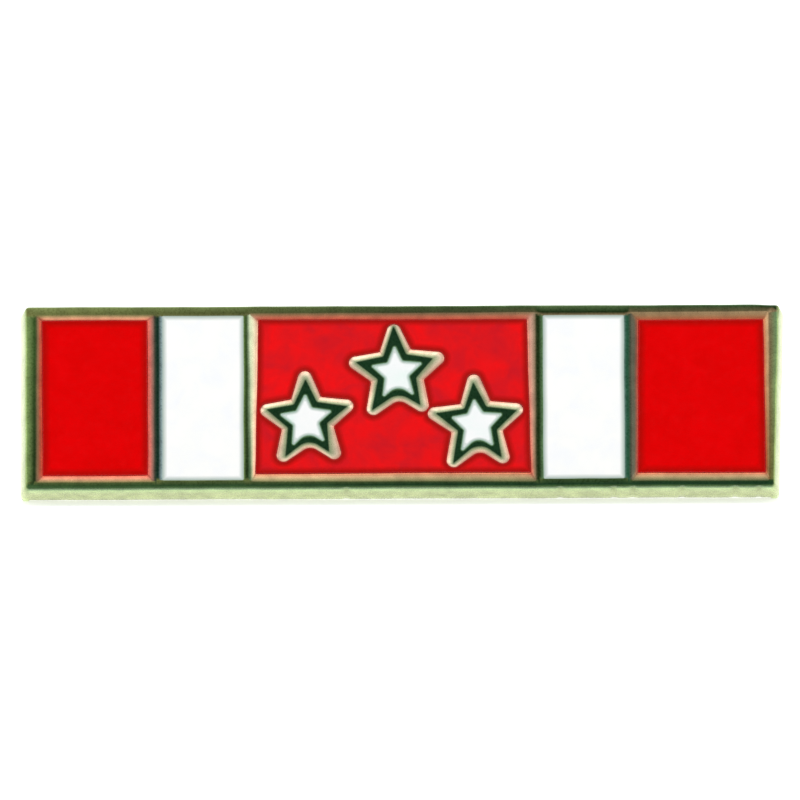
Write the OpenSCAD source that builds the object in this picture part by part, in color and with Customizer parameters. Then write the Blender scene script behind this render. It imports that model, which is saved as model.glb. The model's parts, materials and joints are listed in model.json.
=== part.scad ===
/* [Bar] */
// Length of the bar
bar_l = 35; // [33:0.5:40]
// Height of the bar
bar_h = 9; // [8.5:0.25:12]
// Thickness from the back to the wall tops
bar_t = 1.8; // [1.4:0.1:2.6]
// Radius of the bar's four corners
corner_r = 0.3; // [0.1:0.05:0.4]

/* [Enamel cells] */
// Width of the rim's flat top round the whole bar
rim_w = 0.4; // [0.3:0.05:0.6]
// Width of the flat top of each upright wall between two cells
wall_w = 0.34; // [0.25:0.01:0.5]
// Width of the left red cell between wall tops
red_left_w = 5.5; // [4:0.1:7]
// Width of each white cell between wall tops
white_w = 3.8; // [3:0.1:4.8]
// Width of the middle red cell between wall tops
red_center_w = 13.4; // [12.4:0.1:15]
// Depth of every cell below the wall tops
cell_depth = 0.6; // [0.4:0.05:0.9]
// Depth of the red enamel's face below the wall tops
red_sink = 0.12; // [0.06:0.02:0.2]
// Depth of the white enamel's face below the wall tops
white_sink = 0.02; // [0.01:0.01:0.05]
// Width of the sloping side of a wall, from its flat top down to red enamel
flank_w = 0.28; // [0.15:0.01:0.4]
// Clearance between an enamel fill and the metal round and below it
enamel_gap = 0.02; // [0.01:0.01:0.05]

/* [Stars] */
// Distance from the middle cell's centre to a side star, as a share of the cell's half width
star_spread_share = 0.588; // [0.58:0.002:0.6]
// Turn of every star, counter-clockwise, in degrees
star_turn = 3; // [-4:0.5:4]
// Radius at the points of a star's raised rim, before they are blunted
star_r = 2.12; // [1.8:0.02:2.3]
// Radius at the notches of a star's raised rim
star_notch_r = 1; // [0.9:0.02:1.1]
// Width of a star's raised rim, square to its edge
star_rim_w = 0.36; // [0.2:0.02:0.42]
// Length cut off each point of the raised rim
rim_blunt = 0.12; // [0.06:0.02:0.2]
// Length cut off each point where the rim's slope meets red enamel
flank_blunt = 0.5; // [0.2:0.02:0.6]
// Length cut off each point of the white fill
fill_blunt = 0.06; // [0.02:0.02:0.1]

/* [Posts] */
// Distance from each end of the bar to its post
post_inset = 6.5; // [4:0.5:10]
// Length of a post from the back of the bar to its tip
post_len = 8; // [7:0.5:10]
// Diameter of a post
post_d = 1; // [0.8:0.05:1.3]
// Length of a post's tapered point
tip_len = 1.3; // [1.1:0.1:2]
// Diameter of the flat end of a post's point
tip_d = 0.2; // [0.1:0.05:0.4]
// Diameter of a post's round foot
foot_d = 2.6; // [2:0.1:3.4]
// Height that a foot stands proud of the back
foot_proud = 0.2; // [0.1:0.05:0.4]
// Depth that a foot is let into the back
seat_depth = 0.25; // [0.1:0.05:0.4]
// Clearance between a foot and its seat
seat_gap = 0.02; // [0.01:0.01:0.05]

/* [Hidden] */

gold = [0.72, 0.68, 0.38];
red = [0.87, 0.03, 0.03];
crimson = [0.85, 0.07, 0.1];
white = [0.97, 0.99, 0.98];

round_fn = 64;
// Cutters pass the face they leave by this much
over = 0.05;

// The cells from left to right. The right red cell takes the length that the others leave
cell_names = ["red_left", "white_left", "red_center", "white_right", "red_right"];
red_cells = ["red_left", "red_center", "red_right"];
white_cells = ["white_left", "white_right"];
wall_count = len(cell_names) - 1;
red_right_w = bar_l - 2 * rim_w - wall_count * wall_w - red_left_w - 2 * white_w - red_center_w;
cell_widths = [red_left_w, white_w, red_center_w, white_w, red_right_w];
cell_h = bar_h - 2 * rim_w;
floor_z = bar_t - cell_depth;
red_z = bar_t - red_sink;
white_z = bar_t - white_sink;

// Columns: name, centre x as a share of the spread, centre y as a share of the cell's half height, and
// the five points, from the upper one clockwise, as shares of the star's radius
CENTER_X = 1;
CENTER_Y = 2;
POINTS = 3;
star_shares = [
    ["left", -1, -0.28, [1.00, 1.01, 0.93, 1.04, 0.95]],
    ["top", 0.05, 0.30, [1.06, 0.90, 1.00, 1.00, 0.95]],
    ["right", 1, -0.33, [1.03, 0.96, 1.02, 1.06, 1.03]]
];
star_names = [for (row = star_shares) row[0]];
point_count = 5;
point_step = 360 / point_count;
notch_turn = point_step / 2;
// Half the angle of a star's point, and the angle between an edge and the radius at a notch
point_half = atan2(star_notch_r * sin(notch_turn), star_r - star_notch_r * cos(notch_turn));
notch_half = notch_turn + point_half;

post_x = bar_l / 2 - post_inset;
seat_d = foot_d + 2 * seat_gap;

// The bar leans on its lower back edge and on the two post tips
lean = atan2(post_len, bar_h / 2 - tip_d / 2);
rest_z = bar_h / 2 * sin(lean);
front_y = -bar_h / 2 * cos(lean) - bar_t * sin(lean);
back_y = post_len * sin(lean) + tip_d / 2 * cos(lean);
rest_y = -(front_y + back_y) / 2;

function sum(list, n) = n == 0 ? 0 : list[n - 1] + sum(list, n - 1);
function place(cell) = search([cell], cell_names)[0];
function cell_w(cell) = cell_widths[place(cell)];
function cell_mid(cell) =
    let (n = place(cell))
    -bar_l / 2 + rim_w + n * wall_w + sum(cell_widths, n) + cell_w(cell) / 2;

// A cell's outline, drawn in from the wall tops
function cell_outline(cell, inset) =
    let (x = cell_mid(cell), w = cell_w(cell) / 2 - inset, h = cell_h / 2 - inset)
    [[x - w, -h], [x + w, -h], [x + w, h], [x - w, h]];

function star_row(star) = star_shares[search([star], star_names)[0]];
function star_center(star) = [
    cell_mid("red_center") + star_row(star)[CENTER_X] * star_spread_share * cell_w("red_center") / 2,
    star_row(star)[CENTER_Y] * cell_h / 2
];
function polar(r, angle) = r * [cos(angle), sin(angle)];
function toward(a, b) = (b - a) / norm(b - a);

// A star's outline, counter-clockwise, out from the edge of its raised rim by grow, with blunt points
function star_outline(star, grow, blunt) = [
    for (k = [point_count - 1:-1:0])
        let (
            angle = 90 + star_turn - k * point_step,
            center = star_center(star),
            notch = star_notch_r + grow / sin(notch_half),
            before = center + polar(notch, angle - notch_turn),
            after = center + polar(notch, angle + notch_turn),
            tip = center + polar(star_r * star_row(star)[POINTS][k] + grow / sin(point_half), angle),
            cut = blunt / cos(point_half)
        )
        each [before, tip + cut * toward(tip, before), tip + cut * toward(tip, after)]
];

// A solid between two outlines with the same number of points
module loft(lower, upper, z0, z1) {
    n = len(lower);
    polyhedron(
        points = concat([for (p = lower) [p.x, p.y, z0]], [for (p = upper) [p.x, p.y, z1]]),
        faces = concat(
            [[for (i = [0:n - 1]) i]],
            [[for (i = [n - 1:-1:0]) n + i]],
            [for (i = [0:n - 1]) let (j = (i + 1) % n) each [[i, n + i, n + j], [i, n + j, j]]]
        )
    );
}

module prism(outline, z0, z1) {
    translate([0, 0, z0])
        linear_extrude(z1 - z0)
            polygon(outline);
}

module at_rest() {
    translate([0, rest_y, rest_z])
        rotate([lean, 0, 0])
            children();
}

module plate() {
    inner_l = bar_l - 2 * corner_r;
    inner_h = bar_h - 2 * corner_r;
    translate([-inner_l / 2, -bar_h / 2, 0])
        cube([inner_l, bar_h, bar_t]);
    translate([-bar_l / 2, -inner_h / 2, 0])
        cube([bar_l, inner_h, bar_t]);
    for (x = [-1, 1], y = [-1, 1])
        translate([x * inner_l / 2, y * inner_h / 2, 0])
            cylinder(h = bar_t, r = corner_r, $fn = round_fn);
}

// A cell whose upright walls meet its white enamel
module white_cell(cell) {
    prism(cell_outline(cell, 0), floor_z, bar_t + over);
}

// A cell whose walls slope from their flat tops down to its red enamel
module red_cell(cell) {
    rise = (red_sink + over) / red_sink;
    foot = cell_outline(cell, flank_w);
    prism(foot, floor_z, red_z);
    loft(foot, cell_outline(cell, flank_w * (1 - rise)), red_z, bar_t + over);
}

module star_boss(star) {
    foot = star_outline(star, flank_w, flank_blunt);
    prism(foot, floor_z - over, red_z);
    loft(foot, star_outline(star, 0, rim_blunt), red_z, bar_t);
}

module star_cell(star) {
    prism(star_outline(star, -star_rim_w, fill_blunt), floor_z, bar_t + over);
}

module struck_bar() {
    color(gold)
        at_rest()
            difference() {
                union() {
                    difference() {
                        plate();
                        for (cell = red_cells)
                            red_cell(cell);
                        for (cell = white_cells)
                            white_cell(cell);
                    }
                    for (star = star_names)
                        star_boss(star);
                }
                for (star = star_names)
                    star_cell(star);
                for (side = [-1, 1])
                    translate([side * post_x, 0, -over])
                        cylinder(h = seat_depth + seat_gap + over, d = seat_d, $fn = round_fn);
            }
}

module red_fill(cell) {
    prism(cell_outline(cell, flank_w + enamel_gap), floor_z + enamel_gap, red_z);
}

module white_fill(cell) {
    prism(cell_outline(cell, enamel_gap), floor_z + enamel_gap, white_z);
}

module enamel_red_left() {
    color(red)
        at_rest()
            red_fill("red_left");
}

module enamel_white_left() {
    color(white)
        at_rest()
            white_fill("white_left");
}

module enamel_red_center() {
    color(crimson)
        at_rest()
            difference() {
                red_fill("red_center");
                for (star = star_names)
                    prism(star_outline(star, flank_w + enamel_gap, flank_blunt), floor_z, bar_t);
            }
}

module enamel_white_right() {
    color(white)
        at_rest()
            white_fill("white_right");
}

module enamel_red_right() {
    color(red)
        at_rest()
            red_fill("red_right");
}

module star_fill(star) {
    color(white)
        at_rest()
            prism(star_outline(star, -star_rim_w - enamel_gap, fill_blunt), floor_z + enamel_gap, white_z);
}

module star_left() {
    star_fill("left");
}

module star_top() {
    star_fill("top");
}

module star_right() {
    star_fill("right");
}

// A plain pointed post on a round foot, let into the back of the bar
module post(side) {
    color(gold)
        at_rest()
            translate([side * post_x, 0, 0]) {
                translate([0, 0, -foot_proud])
                    cylinder(h = foot_proud + seat_depth, d = foot_d, $fn = round_fn);
                translate([0, 0, tip_len - post_len])
                    cylinder(h = post_len - tip_len, d = post_d, $fn = round_fn);
                translate([0, 0, -post_len])
                    cylinder(h = tip_len, d1 = tip_d, d2 = post_d, $fn = round_fn);
            }
}

module post_left() {
    post(-1);
}

module post_right() {
    post(1);
}

struck_bar();
enamel_red_left();
enamel_white_left();
enamel_red_center();
enamel_white_right();
enamel_red_right();
star_left();
star_top();
star_right();
post_left();
post_right();
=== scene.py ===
import json
import math

import bpy
import numpy as np
from mathutils import Matrix, Vector, noise
from mathutils.geometry import delaunay_2d_cdt


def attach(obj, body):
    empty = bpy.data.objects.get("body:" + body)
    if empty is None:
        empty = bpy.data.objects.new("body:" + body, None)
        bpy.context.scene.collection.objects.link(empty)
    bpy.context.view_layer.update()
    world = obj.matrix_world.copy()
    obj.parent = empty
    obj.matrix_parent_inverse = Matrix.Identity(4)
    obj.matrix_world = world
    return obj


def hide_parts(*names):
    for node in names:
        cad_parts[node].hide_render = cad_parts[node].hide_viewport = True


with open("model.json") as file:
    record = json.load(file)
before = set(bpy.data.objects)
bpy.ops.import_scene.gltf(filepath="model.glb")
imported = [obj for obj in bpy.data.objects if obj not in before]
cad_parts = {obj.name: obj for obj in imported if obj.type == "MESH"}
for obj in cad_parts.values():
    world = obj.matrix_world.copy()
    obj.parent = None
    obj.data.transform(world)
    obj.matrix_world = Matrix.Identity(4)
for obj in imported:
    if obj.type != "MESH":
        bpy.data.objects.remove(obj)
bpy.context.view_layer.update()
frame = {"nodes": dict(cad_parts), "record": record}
print("Frame loaded:", len(frame["nodes"]), "nodes")

# The bar's own frame, in millimetres: x along it, y up its face, z out from its flat back
mm = 0.001
postAxis = frame["record"]["mounts"][0]["axis"]
lean = math.atan2(postAxis[1], -postAxis[2])
faceUp = np.array((0, math.cos(lean), math.sin(lean)))
faceOut = np.array((0, -math.sin(lean), math.cos(lean)))


def turnedPoints(nodeName):
    points = np.array([vertex.co for vertex in frame["nodes"][nodeName].data.vertices]) / mm
    return np.column_stack((points[:, 0], points @ faceUp, points @ faceOut))


barLow = turnedPoints("struck_bar").min(axis=0)
barHigh = turnedPoints("struck_bar").max(axis=0)
barLength, barHeight, barThick = barHigh - barLow
barOrigin = np.array((0, (barLow[1] + barHigh[1]) / 2, barLow[2]))
barToWorld = Matrix.Identity(4)
for row in range(3):
    barToWorld[row][0] = mm * (row == 0)
    barToWorld[row][1] = mm * faceUp[row]
    barToWorld[row][2] = mm * faceOut[row]
    barToWorld[row][3] = mm * (barOrigin[1] * faceUp[row] + barOrigin[2] * faceOut[row])


def nodeBox(nodeName):
    points = turnedPoints(nodeName) - barOrigin
    return points.min(axis=0), points.max(axis=0)


# Outlines

def growCorners(corners, grow):
    # Moves every edge of a counter-clockwise outline out by grow
    ahead = np.roll(corners, -1, axis=0) - corners
    ahead = ahead / np.linalg.norm(ahead, axis=1)[:, None]
    outAhead = np.column_stack((ahead[:, 1], -ahead[:, 0]))
    outBehind = np.roll(outAhead, 1, axis=0)
    share = 1 + (outAhead * outBehind).sum(axis=1)
    return corners + grow * (outAhead + outBehind) / share[:, None]


def roundedLoop(corners, radii, step, arcStep=0.02):
    # A closed outline with round corners, as points about a step apart
    points = []
    count = len(corners)
    arcs = []
    for i in range(count):
        toBefore = corners[i - 1] - corners[i]
        toAfter = corners[(i + 1) % count] - corners[i]
        room = 0.47 * min(np.linalg.norm(toBefore), np.linalg.norm(toAfter))
        toBefore = toBefore / np.linalg.norm(toBefore)
        toAfter = toAfter / np.linalg.norm(toAfter)
        half = math.acos(max(-1, min(1, float(toBefore @ toAfter)))) / 2
        reach = min(radii[i] / math.tan(half), room)
        radius = reach * math.tan(half)
        middle = toBefore + toAfter
        center = corners[i] + middle / np.linalg.norm(middle) * radius / math.sin(half)
        start = (corners[i] + toBefore * reach - center) / radius
        end = (corners[i] + toAfter * reach - center) / radius
        sweep = math.pi - 2 * half
        pieces = max(3, math.ceil(radius * sweep / arcStep))
        shares = np.arange(pieces + 1) / pieces
        arc = np.outer(np.sin((1 - shares) * sweep), start) + np.outer(np.sin(shares * sweep), end)
        arcs.append(center + radius * arc / math.sin(sweep))
    for i in range(count):
        points.extend(arcs[i])
        start = arcs[i][-1]
        end = arcs[(i + 1) % count][0]
        pieces = max(1, round(np.linalg.norm(end - start) / step))
        for k in range(1, pieces):
            points.append(start + (end - start) * k / pieces)
    return np.array(points)


def boxCorners(low, high):
    return np.array(((low[0], low[1]), (high[0], low[1]), (high[0], high[1]), (low[0], high[1])))


def isInside(loop, points):
    inside = np.zeros(len(points), bool)
    ends = np.roll(loop, -1, axis=0)
    for (x0, y0), (x1, y1) in zip(loop, ends):
        if y0 == y1:
            continue
        crosses = (y0 > points[:, 1]) != (y1 > points[:, 1])
        edgeX = x0 + (points[:, 1] - y0) * (x1 - x0) / (y1 - y0)
        inside ^= crosses & (points[:, 0] < edgeX)
    return inside


def distanceOutside(loop, points):
    # Distance from an outline, negative inside it
    best = np.full(len(points), np.inf)
    ends = np.roll(loop, -1, axis=0)
    for start, end in zip(loop, ends):
        edge = end - start
        along = np.clip(((points - start) @ edge) / (edge @ edge), 0, 1)
        gap = points - start - along[:, None] * edge
        best = np.minimum(best, (gap * gap).sum(axis=1))
    return np.where(isInside(loop, points), -1, 1) * np.sqrt(best)


# A struck and hand-filled piece is never quite straight: one slow drift moves metal and enamel alike
drift = {
    "size": 0.006,
    "waves": ((0.31, 0.9, 1.3), (0.83, -0.5, 0.2), (1.9, 1.3, 2.1)),
    "across": (1.7, 0.6),  # how fast the waves that move a point along the bar change, up and along it
    "up": (1.9, 0.4),  # the same for those that move it up the face, along and up it
}


def drifted(points):
    moved = np.array(points, float)
    x = points[:, 0]
    y = points[:, 1]
    for wave, (alongX, alongY, start) in enumerate(drift["waves"]):
        size = drift["size"] / (1 + wave)
        fast, slow = drift["across"]
        moved[:, 0] += size * np.sin(alongY * fast * y + alongX * slow * x + start)
        fast, slow = drift["up"]
        moved[:, 1] += size * np.sin(alongX * fast * x + alongY * slow * y + 2 * start)
    return moved


def softNoise(points, scale, seed):
    return np.array([noise.noise(Vector((p[0] * scale, p[1] * scale, seed))) for p in points])


# Mesh building

def triangulate(loops, loosePoints=()):
    # Fills flat outlines with triangles. Source says which given point each made point came from, or -1
    given = np.concatenate([np.asarray(loop)[:, :2] for loop in loops] + [np.reshape(loosePoints, (-1, 2))])
    edges = []
    first = 0
    for loop in loops:
        count = len(loop)
        edges += [(first + i, first + (i + 1) % count) for i in range(count)]
        first += count
    made = delaunay_2d_cdt([Vector(p) for p in given], edges, [], 1, 1e-6)
    points = np.array([tuple(p) for p in made[0]])
    faces = np.array(made[2])
    source = np.array([origins[0] if origins else -1 for origins in made[3]])
    return points, faces, source


def wound(points, faces, upward):
    # Turns the triangles to face out of the bar, or into its back
    a, b, c = points[faces[:, 0]], points[faces[:, 1]], points[faces[:, 2]]
    area = (b[:, 0] - a[:, 0]) * (c[:, 1] - a[:, 1]) - (b[:, 1] - a[:, 1]) * (c[:, 0] - a[:, 0])
    flip = (area > 0) != upward
    faces[flip] = faces[flip][:, ::-1]
    return faces


def makePiece(name, points, faces, attributes, sharpAngle=0.6):
    # Points are in the bar's frame. Faces is a list of index lists
    mesh = bpy.data.meshes.new(name)
    mesh.from_pydata([tuple(p) for p in points], [], [tuple(int(i) for i in f) for f in faces])
    for label, values in attributes.items():
        values = np.asarray(values, np.float32)
        if values.ndim == 2:
            values = np.column_stack((values, np.ones(len(values), np.float32)))
            attribute = mesh.attributes.new(label, "FLOAT_COLOR", "POINT")
            attribute.data.foreach_set("color", values.ravel())
        else:
            attribute = mesh.attributes.new(label, "FLOAT", "POINT")
            attribute.data.foreach_set("value", values)
    mesh.transform(barToWorld)
    mesh.update()
    piece = bpy.data.objects.new(name, mesh)
    bpy.context.scene.collection.objects.link(piece)
    bpy.context.view_layer.objects.active = piece
    piece.select_set(True)
    bpy.ops.object.mode_set(mode="EDIT")
    bpy.ops.mesh.select_all(action="SELECT")
    bpy.ops.mesh.remove_doubles(threshold=1e-8)
    bpy.ops.mesh.delete_loose()
    bpy.ops.mesh.select_all(action="SELECT")
    bpy.ops.mesh.normals_make_consistent(inside=False)
    bpy.ops.object.mode_set(mode="OBJECT")
    mesh.shade_smooth()
    mesh.set_sharp_from_angle(angle=sharpAngle)
    piece.select_set(False)
    return piece


# Material building

noiseSpan = (0.3, 0.7)  # the values that most of a noise texture lies between


def linear(red, green, blue):
    # A colour as read off a screen, from 0 to 255, as the shader wants it
    def channel(value):
        value = value / 255
        return value / 12.92 if value <= 0.04045 else ((value + 0.055) / 1.055) ** 2.4
    return channel(red), channel(green), channel(blue), 1


def startMaterial(name):
    material = bpy.data.materials.new(name)
    material.use_nodes = True
    tree = material.node_tree
    return material, tree, tree.nodes["Principled BSDF"]


def addSpeckle(tree, size, detail=4, rough=0.55, distort=0, stretch=(1, 1, 1)):
    # Noise with blotches about size millimetres across
    place = tree.nodes.new("ShaderNodeTexCoord")
    mapping = tree.nodes.new("ShaderNodeMapping")
    mapping.inputs["Scale"].default_value = stretch
    speckle = tree.nodes.new("ShaderNodeTexNoise")
    speckle.inputs["Scale"].default_value = 1 / (size * mm)
    speckle.inputs["Detail"].default_value = detail
    speckle.inputs["Roughness"].default_value = rough
    speckle.inputs["Distortion"].default_value = distort
    tree.links.new(place.outputs["Object"], mapping.inputs["Vector"])
    tree.links.new(mapping.outputs["Vector"], speckle.inputs["Vector"])
    return speckle.outputs["Fac"]


def addRamp(tree, source, stops):
    ramp = tree.nodes.new("ShaderNodeValToRGB")
    elements = ramp.color_ramp.elements
    while len(elements) < len(stops):
        elements.new(0.5)
    for element, (position, color) in zip(elements, stops):
        element.position = position
        element.color = color
    tree.links.new(source, ramp.inputs["Fac"])
    return ramp.outputs["Color"]


def addRange(tree, source, fromLow, fromHigh, toLow, toHigh):
    change = tree.nodes.new("ShaderNodeMapRange")
    change.inputs["From Min"].default_value = fromLow
    change.inputs["From Max"].default_value = fromHigh
    change.inputs["To Min"].default_value = toLow
    change.inputs["To Max"].default_value = toHigh
    tree.links.new(source, change.inputs["Value"])
    return change.outputs["Result"]


def addMix(tree, share, first, second, method="MIX"):
    mix = tree.nodes.new("ShaderNodeMix")
    mix.data_type = "RGBA"
    mix.blend_type = method
    colorInputs = [socket for socket in mix.inputs if socket.type == "RGBA"]
    factorInput = [socket for socket in mix.inputs if socket.type == "VALUE"][0]
    for socket, value in ((factorInput, share), (colorInputs[0], first), (colorInputs[1], second)):
        if isinstance(value, bpy.types.NodeSocket):
            tree.links.new(value, socket)
        else:
            socket.default_value = value
    return [socket for socket in mix.outputs if socket.type == "RGBA"][0]


def addBump(tree, shader, heights, depth, strength=1):
    bump = tree.nodes.new("ShaderNodeBump")
    bump.inputs["Distance"].default_value = depth * mm
    bump.inputs["Strength"].default_value = strength
    tree.links.new(heights, bump.inputs["Height"])
    tree.links.new(bump.outputs["Normal"], shader.inputs["Normal"])


def addAttribute(tree, label, output="Fac"):
    attribute = tree.nodes.new("ShaderNodeAttribute")
    attribute.attribute_name = label
    return attribute.outputs[output]


# Camera, lights and floor

cameraSettings = {
    "elevation": 8.8,  # above the floor, 20 degrees down from square to the face
    "distance": 1040,
    "lens": 1000,
    "sensor": 36,
    "clip": (0.01, 10),
    "imageSide": 800,
    "faceAt": (401.5, 395.8),  # where the photograph has the middle of the face
    "roll": -0.23,
}


def addCamera(settings):
    elevation = math.radians(settings["elevation"])
    back = Vector((0, -math.cos(elevation), math.sin(elevation)))
    data = bpy.data.cameras.new("camera")
    data.lens = settings["lens"]
    data.sensor_width = settings["sensor"]
    data.clip_start, data.clip_end = settings["clip"]
    camera = bpy.data.objects.new("camera", data)
    bpy.context.scene.collection.objects.link(camera)
    bpy.context.scene.camera = camera
    rotation = (-back).to_track_quat("-Z", "Y").to_matrix()
    pixel = settings["distance"] * mm * settings["sensor"] / settings["lens"] / settings["imageSide"]
    sideways = (settings["imageSide"] / 2 - settings["faceAt"][0]) * pixel
    upwards = (settings["faceAt"][1] - settings["imageSide"] / 2) * pixel
    middle = barToWorld @ Vector((0, 0, barThick))
    aim = middle + rotation @ Vector((sideways, upwards, 0))
    roll = Matrix.Rotation(math.radians(settings["roll"]), 3, "Z")
    place = Matrix.Translation(aim + back * settings["distance"] * mm)
    camera.matrix_world = place @ (rotation @ roll).to_4x4()


# Places and sizes in metres, power in watts. All of them point at the bar
lightSettings = {
    "overhead": {"place": (0, 0.12, 0.75), "size": (0.7, 0.5), "power": 1.6},
    "left": {"place": (-0.62, -0.15, 0.3), "size": (0.5, 0.5), "power": 1.0},
    "right": {"place": (0.62, -0.15, 0.3), "size": (0.5, 0.5), "power": 1.0},
    "rear": {"place": (0, 0.8, 0.35), "size": (0.9, 0.4), "power": 1.0},
}


def addLight(name, settings):
    data = bpy.data.lights.new(name, "AREA")
    data.shape = "RECTANGLE"
    data.size, data.size_y = settings["size"]
    data.energy = settings["power"]
    light = bpy.data.objects.new(name, data)
    light.location = settings["place"]
    light.rotation_mode = "QUATERNION"
    light.rotation_quaternion = (-Vector(settings["place"])).to_track_quat("-Z", "Y")
    bpy.context.scene.collection.objects.link(light)


# A light tent with one dim patch, which the flat face mirrors
tentSettings = {"bright": 0.93, "dim": 0.03, "dimRadius": 9, "brightRadius": 17}


def addTent(settings):
    world = bpy.data.worlds.new("tent")
    bpy.context.scene.world = world
    world.use_nodes = True
    tree = world.node_tree
    face = Vector(faceOut)
    elevation = math.radians(cameraSettings["elevation"])
    toCamera = Vector((0, -math.cos(elevation), math.sin(elevation)))
    mirrored = 2 * face.dot(toCamera) * face - toCamera
    place = tree.nodes.new("ShaderNodeTexCoord")
    near = tree.nodes.new("ShaderNodeVectorMath")
    near.operation = "DOT_PRODUCT"
    near.inputs[1].default_value = mirrored
    tree.links.new(place.outputs["Generated"], near.inputs[0])
    level = addRange(
        tree, near.outputs["Value"],
        math.cos(math.radians(settings["brightRadius"])), math.cos(math.radians(settings["dimRadius"])),
        settings["bright"], settings["dim"],
    )
    tree.links.new(level, tree.nodes["Background"].inputs["Color"])


floorSettings = {"side": 3.0, "color": (205, 206, 204), "glow": 0.5, "roughness": 0.6, "specular": 0.1}


def addFloor(settings):
    bpy.ops.mesh.primitive_grid_add(x_subdivisions=8, y_subdivisions=8, size=settings["side"])
    floor = bpy.context.object
    floor.name = "floor"
    material, tree, shader = startMaterial("pale_floor")
    shader.inputs["Base Color"].default_value = linear(*settings["color"])
    shader.inputs["Roughness"].default_value = settings["roughness"]
    shader.inputs["Specular IOR Level"].default_value = settings["specular"]
    shader.inputs["Emission Color"].default_value = (1, 1, 1, 1)
    shader.inputs["Emission Strength"].default_value = settings["glow"]
    floor.data.materials.append(material)


addCamera(cameraSettings)
for lightName, lightRow in lightSettings.items():
    addLight(lightName, lightRow)
addTent(tentSettings)
addFloor(floorSettings)
bpy.context.scene.view_settings.view_transform = "Standard"
print("Camera, lights and floor placed")


# The cells and stars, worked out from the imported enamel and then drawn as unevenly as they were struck

cellSettings = {
    "gap": 0.02,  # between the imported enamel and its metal
    "slope": 0.28,  # width of a red cell's sloping wall
    "corner": 0.07,
    "step": 0.12,
    # How far each corner lies from even, across and up, from the lower left one round to the right
    "openingMoves": {
        "enamel_red_left": ((0.04, -0.11), (0, -0.11), (0, -0.05), (0.04, -0.05)),
        "enamel_white_left": ((0.07, -0.06), (0.07, -0.06), (0.07, -0.07), (0.07, -0.07)),
        "enamel_red_center": ((0.1, -0.1), (-0.03, -0.14), (-0.03, 0), (0.02, 0)),
        "enamel_white_right": ((0.01, -0.04), (0, -0.04), (0.01, -0.11), (0.01, -0.11)),
        "enamel_red_right": ((0, -0.14), (0.07, -0.14), (0.09, 0), (0.02, 0)),
    },
    "footMoves": {
        "enamel_red_left": ((0.06, -0.02), (-0.01, -0.02), (-0.04, 0.02), (0, 0.02)),
        "enamel_red_center": ((0.02, 0.04), (0.02, 0.08), (-0.15, 0), (0.18, 0.02)),
        "enamel_red_right": ((0.02, 0.02), (0.18, 0.02), (0.12, -0.06), (0.1, -0.06)),
    },
}
redNodes = ("enamel_red_left", "enamel_red_center", "enamel_red_right")
whiteNodes = ("enamel_white_left", "enamel_white_right")
cellNodes = (
    "enamel_red_left", "enamel_white_left", "enamel_red_center", "enamel_white_right", "enamel_red_right",
)
starNodes = ("star_left", "star_top", "star_right")


def cellCorners(nodeName):
    # The corners of a cell at the feet of its slopes, and at its opening in the wall tops
    low, high = nodeBox(nodeName)
    foot = growCorners(boxCorners(low, high), cellSettings["gap"])
    moves = np.array(cellSettings["openingMoves"][nodeName])
    if nodeName in whiteNodes:
        return foot + moves, foot + moves
    opening = growCorners(foot, cellSettings["slope"]) + moves
    return foot + cellSettings["footMoves"][nodeName], opening


# Each star's white fill, flat rim and the slope round it. Rows: how far the points reach from the centre in
# millimetres, their degrees from even, from the upper one round to the right, then the same for the notches
starSettings = {
    "star_left": {
        "shift": (-0.1, 0),
        "fill": (
            (1.22, 1.22, 1.38, 1.43, 1.22), (-1, -2, -2, 7, 3),
            (0.66, 0.65, 0.86, 0.68, 0.65), (8, -2, 2, 4, 9),
        ),
        "rim": (
            (2.00, 2.05, 1.98, 2.13, 1.93), (-2, -3, -6, 5, 0),
            (1.05, 1.06, 1.22, 1.00, 1.00), (2, 3, 2, 5, -1),
        ),
        "slope": (
            (2.50, 2.38, 2.50, 2.45, 2.25), (-1, -1, -1, 1, 0),
            (1.40, 1.38, 1.42, 1.28, 1.32), (2, 1, 4, 0, -5),
        ),
    },
    "star_top": {
        "shift": (-0.02, -0.06),
        "fill": (
            (1.30, 1.27, 1.38, 1.36, 1.17), (0, 0, -4, 6, -1),
            (0.67, 0.65, 0.86, 0.63, 0.65), (5, -2, 2, 7, 1),
        ),
        "rim": (
            (2.34, 1.88, 2.02, 2.24, 1.97), (0, 1, -5, 2, 0),
            (1.08, 1.03, 1.22, 1.00, 1.05), (4, -2, 2, 1, -2),
        ),
        "slope": (
            (2.50, 2.46, 2.40, 2.46, 2.33), (0, 0, -3, 2, 0),
            (1.43, 1.38, 1.45, 1.31, 1.36), (2, 1, 2, -2, -3),
        ),
    },
    "star_right": {
        "shift": (-0.02, -0.07),
        "fill": (
            (1.24, 1.28, 1.32, 1.50, 1.20), (2, 2, -3, 6, -2),
            (0.70, 0.70, 0.86, 0.66, 0.70), (5, 2, 2, 6, 0),
        ),
        "rim": (
            (2.12, 2.03, 2.08, 2.28, 2.00), (1, -1, -4, 4, -1),
            (1.05, 1.06, 1.17, 0.98, 1.02), (4, -2, 4, 0, -2),
        ),
        "slope": (
            (2.60, 2.38, 2.43, 2.48, 2.42), (0, 1, -2, 2, -1),
            (1.42, 1.32, 1.42, 1.28, 1.36), (4, 2, 4, -4, -3),
        ),
    },
}
starRounding = {
    "tips": {"fill": 0.07, "rim": 0.07, "slope": 0.36},
    "notches": {
        "fill": (0.14, 0.14, 0.8, 0.14, 0.14),
        "rim": (0.12, 0.12, 0.75, 0.12, 0.12),
        "slope": (0.12, 0.12, 0.5, 0.12, 0.12),
    },
    "step": 0.05,
}
starLevels = ("fill", "rim", "slope")


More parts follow.
